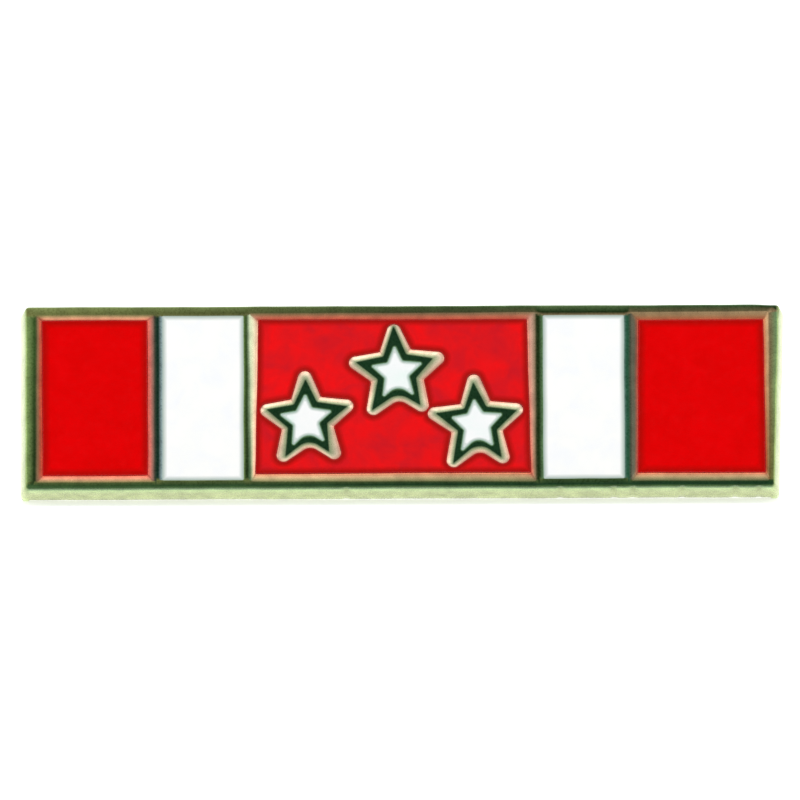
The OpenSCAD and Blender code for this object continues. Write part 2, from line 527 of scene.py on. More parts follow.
def starPlace(nodeName):
    # A star's centre, and the turn of its packed upper point
    points = turnedPoints(nodeName) - barOrigin
    outline = np.unique(points[points[:, 2] > points[:, 2].max() - 0.01][:, :2].round(4), axis=0)
    nearest = np.argsort(np.linalg.norm(outline - outline.mean(axis=0), axis=1))[:5]
    notches = outline[nearest]
    center = notches.mean(axis=0)
    turns = np.degrees(np.arctan2(notches[:, 1] - center[1], notches[:, 0] - center[0]))
    return center + starSettings[nodeName]["shift"], 90 + np.mean((turns - 90) % 72) - 36


def blunted(before, apex, after, radius):
    # Where a corner has to be for its round end to reach the apex
    corner = np.array(apex)
    for _ in range(6):
        one = (before - corner) / np.linalg.norm(before - corner)
        two = (after - corner) / np.linalg.norm(after - corner)
        half = math.acos(float(one @ two)) / 2
        middle = (one + two) / np.linalg.norm(one + two)
        corner = apex - middle * radius * (1 / math.sin(half) - 1)
    return corner


def starCorners(nodeName, level):
    # Ten corners and their radii, counter-clockwise from the upper point
    center, upper = starPlace(nodeName)
    tipReach, tipTurn, notchReach, notchTurn = starSettings[nodeName][level]
    corners = []
    radii = []
    for k in range(5):
        # Round to the left: the upper point, the notch to its left, the left point, and so on
        tip = (5 - k) % 5
        turn = math.radians(upper + 72 * k + tipTurn[tip])
        corners.append(center + tipReach[tip] * np.array((math.cos(turn), math.sin(turn))))
        radii.append(starRounding["tips"][level])
        notch = 4 - k
        turn = math.radians(upper + 72 * k + 36 + notchTurn[notch])
        corners.append(center + notchReach[notch] * np.array((math.cos(turn), math.sin(turn))))
        radii.append(starRounding["notches"][level][notch])
    apexes = np.array(corners)
    made = apexes.copy()
    for i in range(0, 10, 2):
        made[i] = blunted(apexes[i - 1], apexes[i], apexes[(i + 1) % 10], radii[i])
    for i in range(1, 10, 2):
        made[i] = blunted(made[i - 1], apexes[i], made[(i + 1) % 10], radii[i])
    return made, np.array(radii)


cellShapes = {name: cellCorners(name) for name in redNodes + whiteNodes}
starShapes = {name: [starCorners(name, level) for level in starLevels] for name in starNodes}


def cellLoop(nodeName, level, grow=0.0):
    # Level 0 is the outline at the slopes' feet and 1 is the opening. Grow moves it out
    foot, opening = cellShapes[nodeName]
    corners = growCorners(foot + level * (opening - foot), grow)
    radius = max(0.02, cellSettings["corner"] + grow)
    return roundedLoop(corners, [radius] * 4, cellSettings["step"])


def starLoop(nodeName, level, grow=0.0):
    # Level 0 is the white fill's edge, 1 the rim's outer edge and 2 the foot of the slope round it
    lower = min(int(level), 1)
    share = level - lower
    (first, firstRadii), (second, secondRadii) = starShapes[nodeName][lower:lower + 2]
    corners = growCorners(first + share * (second - first), grow)
    radii = firstRadii + share * (secondRadii - firstRadii)
    outward = np.array([1, -1] * 5)
    return roundedLoop(corners, np.maximum(radii + outward * grow, 0.02), starRounding["step"], 0.025)


# Struck bar

# Tones of the metal: its own colour, with painted reflections, highlights and shade
tones = {
    "dark": (8, 36, 8),
    "bottle": (20, 54, 28),
    "forest": (22, 44, 10),
    "pine": (12, 46, 32),
    "teal": (36, 86, 60),
    "moss": (50, 80, 40),
    "fern": (58, 86, 38),
    "leaf": (98, 132, 90),
    "sage": (122, 148, 88),
    "slate": (110, 138, 130),
    "mist": (152, 174, 176),
    "mint": (178, 208, 166),
    "frost": (212, 232, 192),
    "olive": (114, 120, 68),
    "khaki": (100, 96, 66),
    "drab": (82, 80, 66),
    "loam": (98, 52, 22),
    "wheat": (198, 168, 128),
    "bronze": (106, 76, 30),
    "willow": (158, 178, 112),
    "lime": (236, 255, 196),
    "straw": (220, 228, 184),
    "ivory": (255, 246, 206),
    "cream": (242, 234, 204),
    "bone": (232, 214, 186),
    "oat": (212, 184, 158),
    "sand": (196, 160, 134),
    "camel": (192, 160, 120),
    "flax": (173, 146, 109),
    "tan": (212, 155, 121),
    "apricot": (193, 127, 103),
    "caramel": (162, 122, 86),
    "blush": (216, 170, 148),
    "rose": (172, 96, 86),
    "copper": (182, 104, 80),
    "cocoa": (156, 98, 80),
    "clay": (137, 66, 48),
    "ember": (176, 44, 30),
}

barSettings = {
    "topProfile": ((0.07, 0), (0.035, 0), (0.008, -0.004)),  # distance from a wall top's edge, and depth
    "slopeProfile": (  # share of a slope's width, and depth below the wall tops
        (0.04, -0.012), (0.18, -0.03), (0.35, -0.052), (0.53, -0.074), (0.72, -0.098),
        (0.89, -0.118), (0.98, -0.15), (1, -0.6),
    ),
    "uprightProfile": ((0, -0.015), (-0.004, -0.1), (-0.01, -0.6)),
    "topShine": ((0, 0.035, 0.07), (0.25, 0.1, 0)),  # how much of a slope's painted highlight shows on the wall top, by distance from it
    "waviness": 0.006,
    "corner": 0.16,
    "step": 0.09,  # between the outline's points, and on its round corners
    "arcStep": 0.03,
    "edgeProfile": (  # share of the edge's rounding, and depth as a share of it
        (1.0, 0), (0.62, 0.08), (0.3, 0.32), (0.1, 0.65), (0.0, 1.0),
    ),
    "edgeWidth": 0.08,
    "edgeDepth": 0.05,
    "edgeFade": (0, 0.2, 0.5, 0.8, 1),  # how the edge takes on the side's tone
    "lowEdgeFade": (0, 0, 0, 0, 0.15),
    "endMoves": {"left": (-0.08, -0.1), "right": (-0.08, 0.19)},  # at the lower and the upper corner
    "sideProfile": (  # depth of the groove along the sides, and height above the back
        (0, 1.62), (0, 1.48), (0, 1.34), (0, 0.9), (0, 0.62), (0, 0.56), (0.03, 0.53), (0.035, 0.48),
        (0, 0.44), (0, 0.08), (0.02, 0.025), (0.06, 0),
    ),
    "endDraft": 0.24,  # how far the two ends spread towards the back
    "draftRate": 1.6,  # above 1, they are fully spread before the back
    "edgeWear": (  # x, y, extra width, extra depth, reach: where handling has rounded the edge more
        (17.4, 4.4, 0.06, 0.14, 0.5),
        (-17.4, -4.4, 0.05, 0.05, 0.5),
    ),
    "nicks": {  # small ones along the lower edge, each with a dull mark on the side
        "at": (-2.6, 7.4, 9.9, 10.8, 13.1, 15.6, 16.7), "width": 0.14, "depth": 0.04,
        "mark": 0.6, "markLevel": 1.2, "markReach": 0.3, "markTone": "olive",
    },
    "guideStep": 0.15,  # between the loose points on the wall tops
    "guideShares": (0.3, 0.42, 0.55, 0.7),  # their places across each wall
    "guidePast": 0.1,  # how far they go past the openings, and stop short of the bar's ends
    "guideShort": 0.2,
    "guideInset": 0.3,  # least distance from the sides, the openings and the face's edge
    "guideGap": 0.085,
    "guideEdgeGap": 0.02,
    "seatRadius": 1.32,  # of the round seats in the back that hold the posts' feet
    "seatSteps": 72,
    "seatRings": ((0.12, 0), (0.02, 0.003), (0, 0.02), (-0.004, 0.27)),  # past the radius, and depth
    "seatClear": 0.3,  # from a seat to the back's grid of points
    "backGrid": {"reach": (17, 4), "step": 0.5},
    "backWaviness": 0.012,
    "backTone": "straw",
    # Painted dark reflection across each wall top, as tones, each as a run along it: at its left or lower
    # edge, in its middle and at its other edge. Then the middle's place and half its width
    "uprightTones": (
        (("sage",), ("forest", "fern"), ("khaki",), 0.72, 0.08),
        (("drab",), ("pine",), ("mist",), 0.46, 0.1),
        (("sage",), ("forest", "fern"), ("leaf", "frost"), 0.4, 0.12),
        (("khaki",), ("forest",), ("leaf",), 0.38, 0.12),
        (("slate",), ("teal",), ("drab",), 0.4, 0.12),
        (("bronze", "camel"), ("olive", "dark"), ("willow", "leaf"), 0.5, 0.12),
    ),
    "lowTones": (("moss", "fern"), ("moss", "bottle", "bottle"), ("olive", "moss"), 0.42, 0.22),
    "highTones": (("olive", "khaki", "flax"), ("olive", "forest", "forest"), ("willow", "leaf"), 0.5, 0.25),
    # Painted highlights and shade on each red cell's slopes, as runs of tones, low to high or left to right:
    # left, right, lower, upper slope
    "slopeTones": {
        "enamel_red_left": (("clay",), ("rose",), ("apricot",), ("tan",)),
        "enamel_red_center": (("sand", "ivory"), ("cocoa", "blush"), ("wheat", "flax"), ("copper",)),
        "enamel_red_right": (("drab",), ("loam", "caramel"), ("flax",), ("caramel",)),
    },
    # Painted dark reflection on the stars' rim tops, at their edges and in their cores
    "starTopTones": ("leaf", "bottle"),
    # How a wall top's painted dark reflection fades down a slope, and the painted reflection of the enamel
    # that the metal takes on towards its foot
    "cellFade": {"top": ((0, 0.3, 0.5), (0.8, 0.4, 0)), "foot": ((0.4, 0.75, 1), (0, 0.4, 0.95))},
    "starFade": {"top": ((0, 0.25, 0.55), (0.85, 0.5, 0)), "foot": ((0.45, 0.75, 1), (0, 0.45, 0.95))},
    # Painted reflection of the red enamel at the slopes' feet
    "footReflectionTone": "ember",
    "starSlopeTones": ("oat", "bone", "cream"),  # painted highlight round every star, from its notches out to its points
    # Down the sides, pale gold, with painted dark reflection that is darker and greener towards the face, as
    # tones and the heights above the back that they sit at
    "endTones": (("lime", 0), ("straw", 0.9), ("willow", 1.8)),
    "sideTones": (
        ("straw", 0), ("straw", 1.1), ("lime", 1.3), ("mint", 1.42), ("leaf", 1.56), ("fern", 1.72),
    ),
}


def toneColor(name):
    return np.array(linear(*tones[name])[:3])


def blend(first, second, share):
    return first + (second - first) * np.reshape(share, (-1, 1))


def tonesAt(names, places, at):
    # A colour between the tones to either side of a place
    colors = np.array([toneColor(name) for name in names])
    return np.column_stack([np.interp(at, places, colors[:, c]) for c in range(3)])


def runOfTones(names, share):
    # A colour along a row of evenly spaced tones
    return tonesAt(names, np.linspace(0, 1, len(names)), share)


def acrossTones(row, across, along):
    low, middle, high, at, half = row
    core = runOfTones(middle, along)
    below = blend(core, runOfTones(low, along), np.clip((at - half - across) / (at - half), 0, 1))
    above = blend(core, runOfTones(high, along), np.clip((across - at - half) / (1 - at - half), 0, 1))
    return np.where((across < at)[:, None], below, above)


def openingSides(nodeName, y):
    # Where a cell's opening begins and ends at each height up the face
    corners = cellShapes[nodeName][1]
    left = np.interp(y, corners[[0, 3], 1], corners[[0, 3], 0])
    right = np.interp(y, corners[[1, 2], 1], corners[[1, 2], 0])
    return left, right


def openingEnds(x):
    # How far down and up the openings reach at each place along the bar
    lower = np.concatenate([cellShapes[name][1][[0, 1]] for name in cellNodes])
    upper = np.concatenate([cellShapes[name][1][[3, 2]] for name in cellNodes])
    return np.interp(x, lower[:, 0], lower[:, 1]), np.interp(x, upper[:, 0], upper[:, 1])


def wallSpans(y):
    # Where each of the six upright walls begins and ends at each height up the face
    sides = [openingSides(name, y) for name in cellNodes]
    edge = np.full(len(y), barLength / 2)
    return list(zip([-edge] + [right for left, right in sides], [left for left, right in sides] + [edge]))


def wallTopColor(settings, points):
    # The painted dark reflection of a wall top, by the wall it lies on
    x, y = points.T
    along = np.clip(y / barHeight + 0.5, 0, 1)
    color = np.zeros((len(points), 3))
    best = np.full(len(points), np.inf)
    for row, (start, end) in zip(settings["uprightTones"], wallSpans(y)):
        away = np.abs(x - (start + end) / 2) - (end - start) / 2
        closer = away < best
        best = np.where(closer, away, best)
        tone = acrossTones(row, np.clip((x - start) / (end - start), 0, 1), along)
        color = np.where(closer[:, None], tone, color)
    low, high = openingEnds(x)
    edge = barHeight / 2
    along = np.clip(x / barLength + 0.5, 0, 1)
    onLow = acrossTones(settings["lowTones"], np.clip((y + edge) / (low + edge), 0, 1), along)
    onHigh = acrossTones(settings["highTones"], np.clip((y - high) / (edge - high), 0, 1), along)
    color = np.where((y < low + 0.02)[:, None], onLow, color)
    return np.where((y > high - 0.02)[:, None], onHigh, color)


besideGaps = {"sides": 0.02, "ends": 0.03}


def besideOpening(nodeName, points):
    # The places just outside a cell's opening that are nearest to points on its slopes
    x, y = points.T
    left, right = openingSides(nodeName, y)
    low, high = openingEnds(np.clip(x, left, right))
    side = np.argmin(np.column_stack((x - left, right - x, y - low, high - y)), axis=1)
    moved = points.copy()
    aside, beyond = besideGaps["sides"], besideGaps["ends"]
    for k, place in enumerate((left - aside, right + aside, low - beyond, high + beyond)):
        moved[side == k, k // 2] = place[side == k]
    return moved


def cellSlopeColor(settings, nodeName, points):
    # The painted highlights and shade of the four slopes, each fading into the next at the corners
    foot = cellShapes[nodeName][0]
    low, high = foot[0], foot[2]
    x, y = points.T
    away = np.column_stack((x - low[0], high[0] - x, y - low[1], high[1] - y))
    away = away - away.min(axis=1)[:, None]
    weights = 1 / (away + 0.1) ** 2
    upward = np.clip((y - low[1]) / (high[1] - low[1]), 0, 1)
    rightward = np.clip((x - low[0]) / (high[0] - low[0]), 0, 1)
    color = np.zeros((len(points), 3))
    for k, row in enumerate(settings["slopeTones"][nodeName]):
        tone = runOfTones(row, upward if k < 2 else rightward)
        color += tone * (weights[:, k] / weights.sum(axis=1))[:, None]
    return color


def starSlopeColor(settings, nodeName, points):
    # Painted highlight: duller in a star's notches and brighter towards its points
    center = starPlace(nodeName)[0]
    reach = np.linalg.norm(starShapes[nodeName][2][0] - center, axis=1)
    away = np.linalg.norm(points - center, axis=1)
    return runOfTones(settings["starSlopeTones"], np.interp(away, (reach.min(), reach.max()), (0, 1)))


def wallTopHeight(points):
    return barThick + barSettings["waviness"] * softNoise(points, 0.8, 3.1)


def addLoop(relief, loop, depth, color, darkReflectionShare):
    # Adds an outline at a known height to a flat drawing. The share of painted dark reflection goes from 0,
    # bright metal, to 1, wall tops
    relief["loops"].append(loop)
    relief["heights"].append(wallTopHeight(loop) + depth)
    relief["colors"].append(np.broadcast_to(color, (len(loop), 3)))
    relief["darkReflectionShare"].append(np.full(len(loop), float(darkReflectionShare)))


def pointCount(relief):
    return sum(len(loop) for loop in relief["loops"])


def slopeDepth(settings, share):
    shares = [0] + [row[0] for row in settings["slopeProfile"]]
    depths = [0] + [row[1] for row in settings["slopeProfile"]]
    return np.interp(share, shares, depths)


def slopeColors(settings, topColor, slopeColor, share, fade):
    # From the wall top's painted dark reflection, through the slope's own painted light and shade, to the
    # painted reflection of the enamel at its foot. Also the share of painted dark reflection
    top = np.interp(share, *fade["top"])
    foot = np.interp(share, *fade["foot"])
    color = blend(slopeColor, topColor, top)
    return blend(color, toneColor(settings["footReflectionTone"]), foot), top


def shareBetween(inner, outer, points):
    # 0 on or inside the inner outline, 1 on or outside the outer one
    fromInner = distanceOutside(inner, points)
    fromOuter = distanceOutside(outer, points)
    share = fromInner / np.maximum(fromInner - fromOuter, 1e-6)
    return np.where(fromInner <= 0, 0, np.where(fromOuter >= 0, 1, share))


def nearSlope(settings, topColor, slopeColor, grow):
    # A wall top's painted dark reflection near its edge takes on some of the slope's painted highlight. Also
    # the share of painted dark reflection that is left
    share = float(np.interp(grow, *settings["topShine"]))
    return blend(topColor, slopeColor, share * np.ones(len(slopeColor))), 1 - share


def addCells(relief, settings):
    for name in redNodes:
        for grow, drop in settings["topProfile"]:
            loop = cellLoop(name, 1, grow)
            top = wallTopColor(settings, loop)
            own = cellSlopeColor(settings, name, loop)
            addLoop(relief, loop, drop, *nearSlope(settings, top, own, grow))
        for share, drop in settings["slopeProfile"]:
            loop = cellLoop(name, 1 - share)
            top = wallTopColor(settings, besideOpening(name, loop))
            own = cellSlopeColor(settings, name, loop)
            addLoop(relief, loop, drop, *slopeColors(settings, top, own, share, settings["cellFade"]))
    for name in whiteNodes:
        for grow, drop in settings["topProfile"] + settings["uprightProfile"]:
            loop = cellLoop(name, 1, grow)
            addLoop(relief, loop, drop, wallTopColor(settings, loop), 1)


def addStars(relief, settings):
    # Also tells where the points of each star begin and end
    spans = []
    edgeTone, coreTone = (toneColor(tone) for tone in settings["starTopTones"])
    coreReach = settings["topShine"][0][-1]
    for name in starNodes:
        first = pointCount(relief)
        for grow, drop in settings["topProfile"]:
            loop = starLoop(name, 1, -grow)
            top = blend(edgeTone, coreTone, [grow / coreReach])
            own = starSlopeColor(settings, name, loop)
            addLoop(relief, loop, drop, *nearSlope(settings, top, own, grow))
            addLoop(relief, starLoop(name, 0, grow), drop, top, 1)
        for share, drop in settings["slopeProfile"]:
            loop = starLoop(name, 1 + share)
            own = starSlopeColor(settings, name, loop)
            addLoop(relief, loop, drop, *slopeColors(settings, edgeTone, own, share, settings["starFade"]))
        for grow, drop in settings["uprightProfile"]:
            addLoop(relief, starLoop(name, 0, grow), drop, edgeTone, 1)
        spans.append((first, pointCount(relief)))
    return spans


def barFace():
    return boxCorners((-barLength / 2, -barHeight / 2), (barLength / 2, barHeight / 2))


def guidePoints(settings, edge):
    # Loose points along the middle of every wall top, which carry its tones
    points = []
    low, high = openingEnds(np.zeros(1))
    step, past, short = settings["guideStep"], settings["guidePast"], settings["guideShort"]
    y = np.arange(low[0] - past, high[0] + past + 0.01, step)
    x = np.arange(short - barLength / 2, barLength / 2 - short + 0.01, step)
    low, high = openingEnds(x)
    half = barHeight / 2
    for share in settings["guideShares"]:
        points += [np.column_stack((start + share * (end - start), y)) for start, end in wallSpans(y)]
        points.append(np.column_stack((x, share * (low + half) - half)))
        points.append(np.column_stack((x, high + share * (half - high))))
    points = np.concatenate(points)
    points = points[isInside(growCorners(barFace(), -settings["guideInset"]), points)]
    clear = -distanceOutside(edge, points) > settings["guideEdgeGap"]
    for name in cellShapes:
        clear &= distanceOutside(cellLoop(name, 1), points) > settings["guideGap"]
    return points[clear]


def faceSurface(settings, edge):
    # The face inside its rounded edge, with the cells and stars struck into it
    relief = {"loops": [], "heights": [], "colors": [], "darkReflectionShare": []}
    addLoop(relief, edge, 0, wallTopColor(settings, edge), 1)
    addCells(relief, settings)
    starFrom = pointCount(relief)
    starSpans = addStars(relief, settings)
    guides = guidePoints(settings, edge)
    points, faces, source = triangulate(relief["loops"], guides)
    made = source < 0
    base = wallTopHeight(points)
    height = np.where(made, 0, np.concatenate(relief["heights"] + [wallTopHeight(guides)])[source])
    colors = np.concatenate(relief["colors"] + [wallTopColor(settings, guides)])[source]
    darkReflectionShare = np.concatenate(relief["darkReflectionShare"] + [np.ones(len(guides))])[source]
    # Where two raised forms meet, the higher one shows
    edgeTone = toneColor(settings["starTopTones"][0])
    inStarArea = ((source >= starFrom) & (source < starSpans[-1][1])) | made
    for name, (first, last) in zip(starNodes, starSpans):
        others = inStarArea & ~((source >= first) & (source < last))
        share = np.ones(len(points))
        share[others] = shareBetween(starLoop(name, 1), starLoop(name, 2), points[others])
        raised = base + slopeDepth(settings, share)
        higher = others & (raised > height + 1e-6)
        height[higher] = raised[higher]
        darkReflectionShare[higher] = share[higher] == 0
        own = starSlopeColor(settings, name, points[higher])
        colors[higher] = slopeColors(settings, edgeTone, own, share[higher], settings["starFade"])[0]
    share = np.ones(len(points))
    foot, opening = (cellLoop("enamel_red_center", level) for level in (0, 1))
    share[inStarArea] = 1 - shareBetween(foot, opening, points[inStarArea])
    raised = base + slopeDepth(settings, share)
    height = np.where(inStarArea, np.maximum(height, raised), height)
    faces = wound(points, faces, True)
    return np.column_stack((drifted(points), height)), faces.tolist(), colors, darkReflectionShare


def barOutline(settings):
    # The outline of the sides, and the way that each of its points faces
    corners = barFace()
    (leftLow, leftHigh), (rightLow, rightHigh) = settings["endMoves"]["left"], settings["endMoves"]["right"]
    corners[:, 0] += (leftLow, rightLow, rightHigh, leftHigh)
    outline = roundedLoop(corners, [settings["corner"]] * 4, settings["step"], settings["arcStep"])
    ahead = np.roll(outline, -1, axis=0) - np.roll(outline, 1, axis=0)
    outward = np.column_stack((ahead[:, 1], -ahead[:, 0])) / np.linalg.norm(ahead, axis=1)[:, None]
    return outline, outward


def edgeRings(settings, outline, outward):
    # The rounded edge from the face to the sides
    width = np.full(len(outline), settings["edgeWidth"])
    depth = np.full(len(outline), settings["edgeDepth"])
    for x, y, wider, deeper, reach in settings["edgeWear"]:
        near = np.exp(-((outline - (x, y)) ** 2).sum(axis=1) / reach ** 2)
        width += wider * near
        depth += deeper * near
    rings = []
    for share, drop in settings["edgeProfile"]:
        ring = outline - outward * (width * share)[:, None]
        rings.append(np.column_stack((ring, barThick - depth * drop)))
    rings[0][:, 2] = wallTopHeight(rings[0])
    return rings


def sideSurface(settings, outline, outward, rings):
    # The edge's rings and the sides below them. Also gives the last ring, where the back begins
    nicks = settings["nicks"]
    lower = outline[:, 1] < -barHeight / 2 + 0.01
    away = outline[:, 0][:, None] - np.array(nicks["at"])
    nick = np.exp(-(away / nicks["width"]) ** 2).sum(axis=1) * lower
    down = np.clip(-outward[:, 1], 0, 1)
    sideways = np.abs(outward[:, 0])
    count = len(outline)
    colors = []
    darkReflectionShare = []

    def sideTone(level):
        along, end = (tonesAt(*zip(*settings[key]), [level]) for key in ("sideTones", "endTones"))
        return blend(along, end, sideways)

    # The rounded edge blends the wall tops' painted dark reflection into the sides' tone; along the lower
    # edge the painted dark reflection stays to the last ring
    for ring, fade, lowFade in zip(rings, settings["edgeFade"], settings["lowEdgeFade"]):
        share = fade + (lowFade - fade) * down
        colors.append(blend(wallTopColor(settings, ring[:, :2]), sideTone(barThick), share))
        darkReflectionShare.append(1 - share)
    rings = list(rings)
    for groove, level in settings["sideProfile"]:
        reached = np.clip((barThick - level) / barThick * settings["draftRate"], 0, 1)
        spread = settings["endDraft"] * sideways * reached
        ring = outline + outward * (spread - groove - nicks["depth"] * nick)[:, None]
        rings.append(np.column_stack((ring, np.full(count, level))))
        fromMark = (level - nicks["markLevel"]) / nicks["markReach"]
        mark = nicks["mark"] * math.exp(-fromMark ** 2) * np.minimum(nick, 1)
        colors.append(blend(sideTone(level), toneColor(nicks["markTone"]), mark))
        darkReflectionShare.append(np.zeros(count))
    faces = []
    for level in range(len(rings) - 1):
        for i in range(count):
            a = level * count + i
            b = level * count + (i + 1) % count
            faces.append((a, a + count, b + count, b))
    points = np.concatenate([np.column_stack((drifted(ring[:, :2]), ring[:, 2])) for ring in rings])
    return (points, faces, np.concatenate(colors), np.concatenate(darkReflectionShare)), rings[-1][:, :2]


def backSurface(settings, edge):
    # The back, with a round seat for each post's foot
    loops = [edge]
    heights = [np.zeros(len(edge))]
    turns = np.arange(settings["seatSteps"]) / settings["seatSteps"] * 2 * math.pi
    grid = settings["backGrid"]
    gridX, gridY = np.meshgrid(*(np.arange(-reach, reach + 0.1, grid["step"]) for reach in grid["reach"]))
    loose = np.column_stack((gridX.ravel(), gridY.ravel()))
    for mount in frame["record"]["mounts"]:
        center = np.array((mount["pos_m"][0] / mm, 0))
        for grow, level in settings["seatRings"]:
            radius = settings["seatRadius"] + grow
            loops.append(center + radius * np.column_stack((np.cos(turns), np.sin(turns))))
            heights.append(np.full(len(turns), level))
        clear = settings["seatRadius"] + settings["seatClear"]
        loose = loose[np.linalg.norm(loose - center, axis=1) > clear]
    points, faces, source = triangulate(loops, loose)
    uneven = settings["backWaviness"] * np.abs(softNoise(loose, 0.5, 7.7))
    height = np.concatenate(heights + [uneven])[source]
    faces = wound(points, faces, False)
    colors = np.broadcast_to(toneColor(settings["backTone"]), (len(points), 3))
    return np.column_stack((drifted(points), height)), faces.tolist(), colors, np.zeros(len(points))


def makeStruckBar(settings):
    outline, outward = barOutline(settings)
    rings = edgeRings(settings, outline, outward)
    sides, backEdge = sideSurface(settings, outline, outward, rings)
    surfaces = (faceSurface(settings, rings[0][:, :2]), sides, backSurface(settings, backEdge))
    points, faces, colors, darkReflectionShare = zip(*surfaces)
    joined = []
    first = 0
    for surfacePoints, surfaceFaces in zip(points, faces):
        joined += [[first + corner for corner in face] for face in surfaceFaces]
        first += len(surfacePoints)
    attributes = {"goldAndPaintedLight": np.concatenate(colors), "darkReflectionShare": np.concatenate(darkReflectionShare)}
    return makePiece("struck_bar_relief", np.concatenate(points), joined, attributes)


goldSettings = {
    "blotches": (0.6, 2, 0.5),  # size in millimetres, detail and roughness of the noise, here and below
    "shade": (0.86, 1.14),
    "metallic": (1.0, 0.35),  # bright metal, and wall tops painted as dark reflection
    "specular": 0.2,
    "roughness": (0.2, 0.38),
    "grain": (0.12, 5, 0.6),
    "grainDepth": 0.0003,
}


def makeGold(settings):
    material, tree, shader = startMaterial("gold_plate")
    # Each point's colour: the gold's own, with painted reflections, highlights and shade
    goldAndPaintedLight = addAttribute(tree, "goldAndPaintedLight", "Color")
    blotches = addSpeckle(tree, *settings["blotches"])
    shade = addRange(tree, blotches, *noiseSpan, *settings["shade"])
    color = addMix(tree, 1, goldAndPaintedLight, shade, "MULTIPLY")
    tree.links.new(color, shader.inputs["Base Color"])
    # Wall tops painted as dark reflection are made less metallic, so that their painted colour shows
    darkReflectionShare = addAttribute(tree, "darkReflectionShare")
    tree.links.new(addRange(tree, darkReflectionShare, 0, 1, *settings["metallic"]), shader.inputs["Metallic"])
    shader.inputs["Specular IOR Level"].default_value = settings["specular"]
    grain = addSpeckle(tree, *settings["grain"])
    tree.links.new(addRange(tree, grain, *noiseSpan, *settings["roughness"]), shader.inputs["Roughness"])
    addBump(tree, shader, grain, settings["grainDepth"])
    return material


goldPlate = makeGold(goldSettings)
struckBar = makeStruckBar(barSettings)
struckBar.data.materials.append(goldPlate)
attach(struckBar, "root")
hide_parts("struck_bar")
print("Struck bar made:", len(struckBar.data.polygons), "faces")


# Enamel

enamelSettings = {
    "overlap": 0.006,  # the glaze wets the wall
    "rings": (0.02, 0.05, 0.1, 0.18, 0.3, 0.45),
    "grid": 0.22,
    "gridGap": 0.05,  # from the last ring to the grid
    "climb": 0.012,
    "climbReach": 0.06,
    "waviness": 0.006,
}


def makeEnamel(name, nodeName, makeLoop, holes, settings):
    # MakeLoop and each of the holes give an outline moved away from the wall by a distance
    low, high = nodeBox(nodeName)
    wallLoops = [makeLoop(-settings["overlap"])] + [hole(-settings["overlap"]) for hole in holes]
    loops = list(wallLoops)
    for ring in settings["rings"]:
        loops.append(makeLoop(ring))
        loops += [hole(ring) for hole in holes]
    gridX, gridY = np.meshgrid(
        np.arange(low[0], high[0], settings["grid"]), np.arange(low[1], high[1], settings["grid"])
    )
    loose = np.column_stack((gridX.ravel(), gridY.ravel()))

    def fromWalls(points):
        distance = -distanceOutside(wallLoops[0], points)
        for loop in wallLoops[1:]:
            distance = np.minimum(distance, distanceOutside(loop, points))
        return distance

    loose = loose[fromWalls(loose) > settings["rings"][-1] + settings["gridGap"]]
    points, faces, source = triangulate(loops, loose)
    keep = fromWalls(points[faces].mean(axis=1)) > 0
    faces = wound(points, faces[keep], True)
    used = np.unique(faces)
    renumber = np.full(len(points), -1)
    renumber[used] = np.arange(len(used))
    points = points[used]
    faces = renumber[faces]
    distance = np.maximum(fromWalls(points), 0)
    climb = settings["climb"] * np.exp(-distance / settings["climbReach"])
    top = high[2] + climb + settings["waviness"] * softNoise(points, 0.9, 5.5)
    moved = drifted(points)
    count = len(points)
    bottom = np.full(count, low[2])
    allPoints = np.concatenate((np.column_stack((moved, top)), np.column_stack((moved, bottom))))
    # The edges in the order that the faces have them, so that the sides are made in that order
    seen = dict.fromkeys(edge for a, b, c in faces for edge in ((a, b), (b, c), (c, a)))
    sides = [(end, start, start + count, end + count) for start, end in seen if (end, start) not in seen]
    allFaces = faces.tolist() + (faces[:, ::-1] + count).tolist() + sides
    piece = makePiece(name, allPoints, allFaces, {"wallDistance": np.concatenate((distance, distance))})
    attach(piece, "root")
    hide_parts(nodeName)
    return piece


# Each enamel's edge colour is painted shade along its walls, fading out between the two distances of its
# reach
redSettings = {
    "color": (212, 0, 2), "mottle": (207, 0, 1), "bright": (217, 0, 3),
    "edge": (172, 6, 3), "wallShadeReach": (0.13, 0.4),
}
crimsonSettings = {
    "color": (212, 20, 25), "mottle": (195, 22, 31), "bright": (228, 16, 20),
    "edge": (158, 16, 12), "wallShadeReach": (0.1, 0.34),
}
whiteSettings = {
    "color": (239, 240, 239), "mottle": (236, 238, 240), "bright": (242, 242, 240),
    "edge": (150, 170, 160), "wallShadeReach": (0.0, 0.24),
}
starWhiteSettings = {
    "color": (233, 236, 236), "mottle": (225, 236, 232), "bright": (238, 238, 238),
    "edge": (120, 154, 134), "wallShadeReach": (0.0, 0.17),
}


glossSettings = {
    "blotches": (1.1, 3, 0.55, 0.4),
    "specular": 0.4,
    "fine": (0.3, 3, 0.5),
    "roughness": (0.08, 0.16),
    "swell": (1.4, 2, 0.4),
    "swellDepth": 0.004,
}


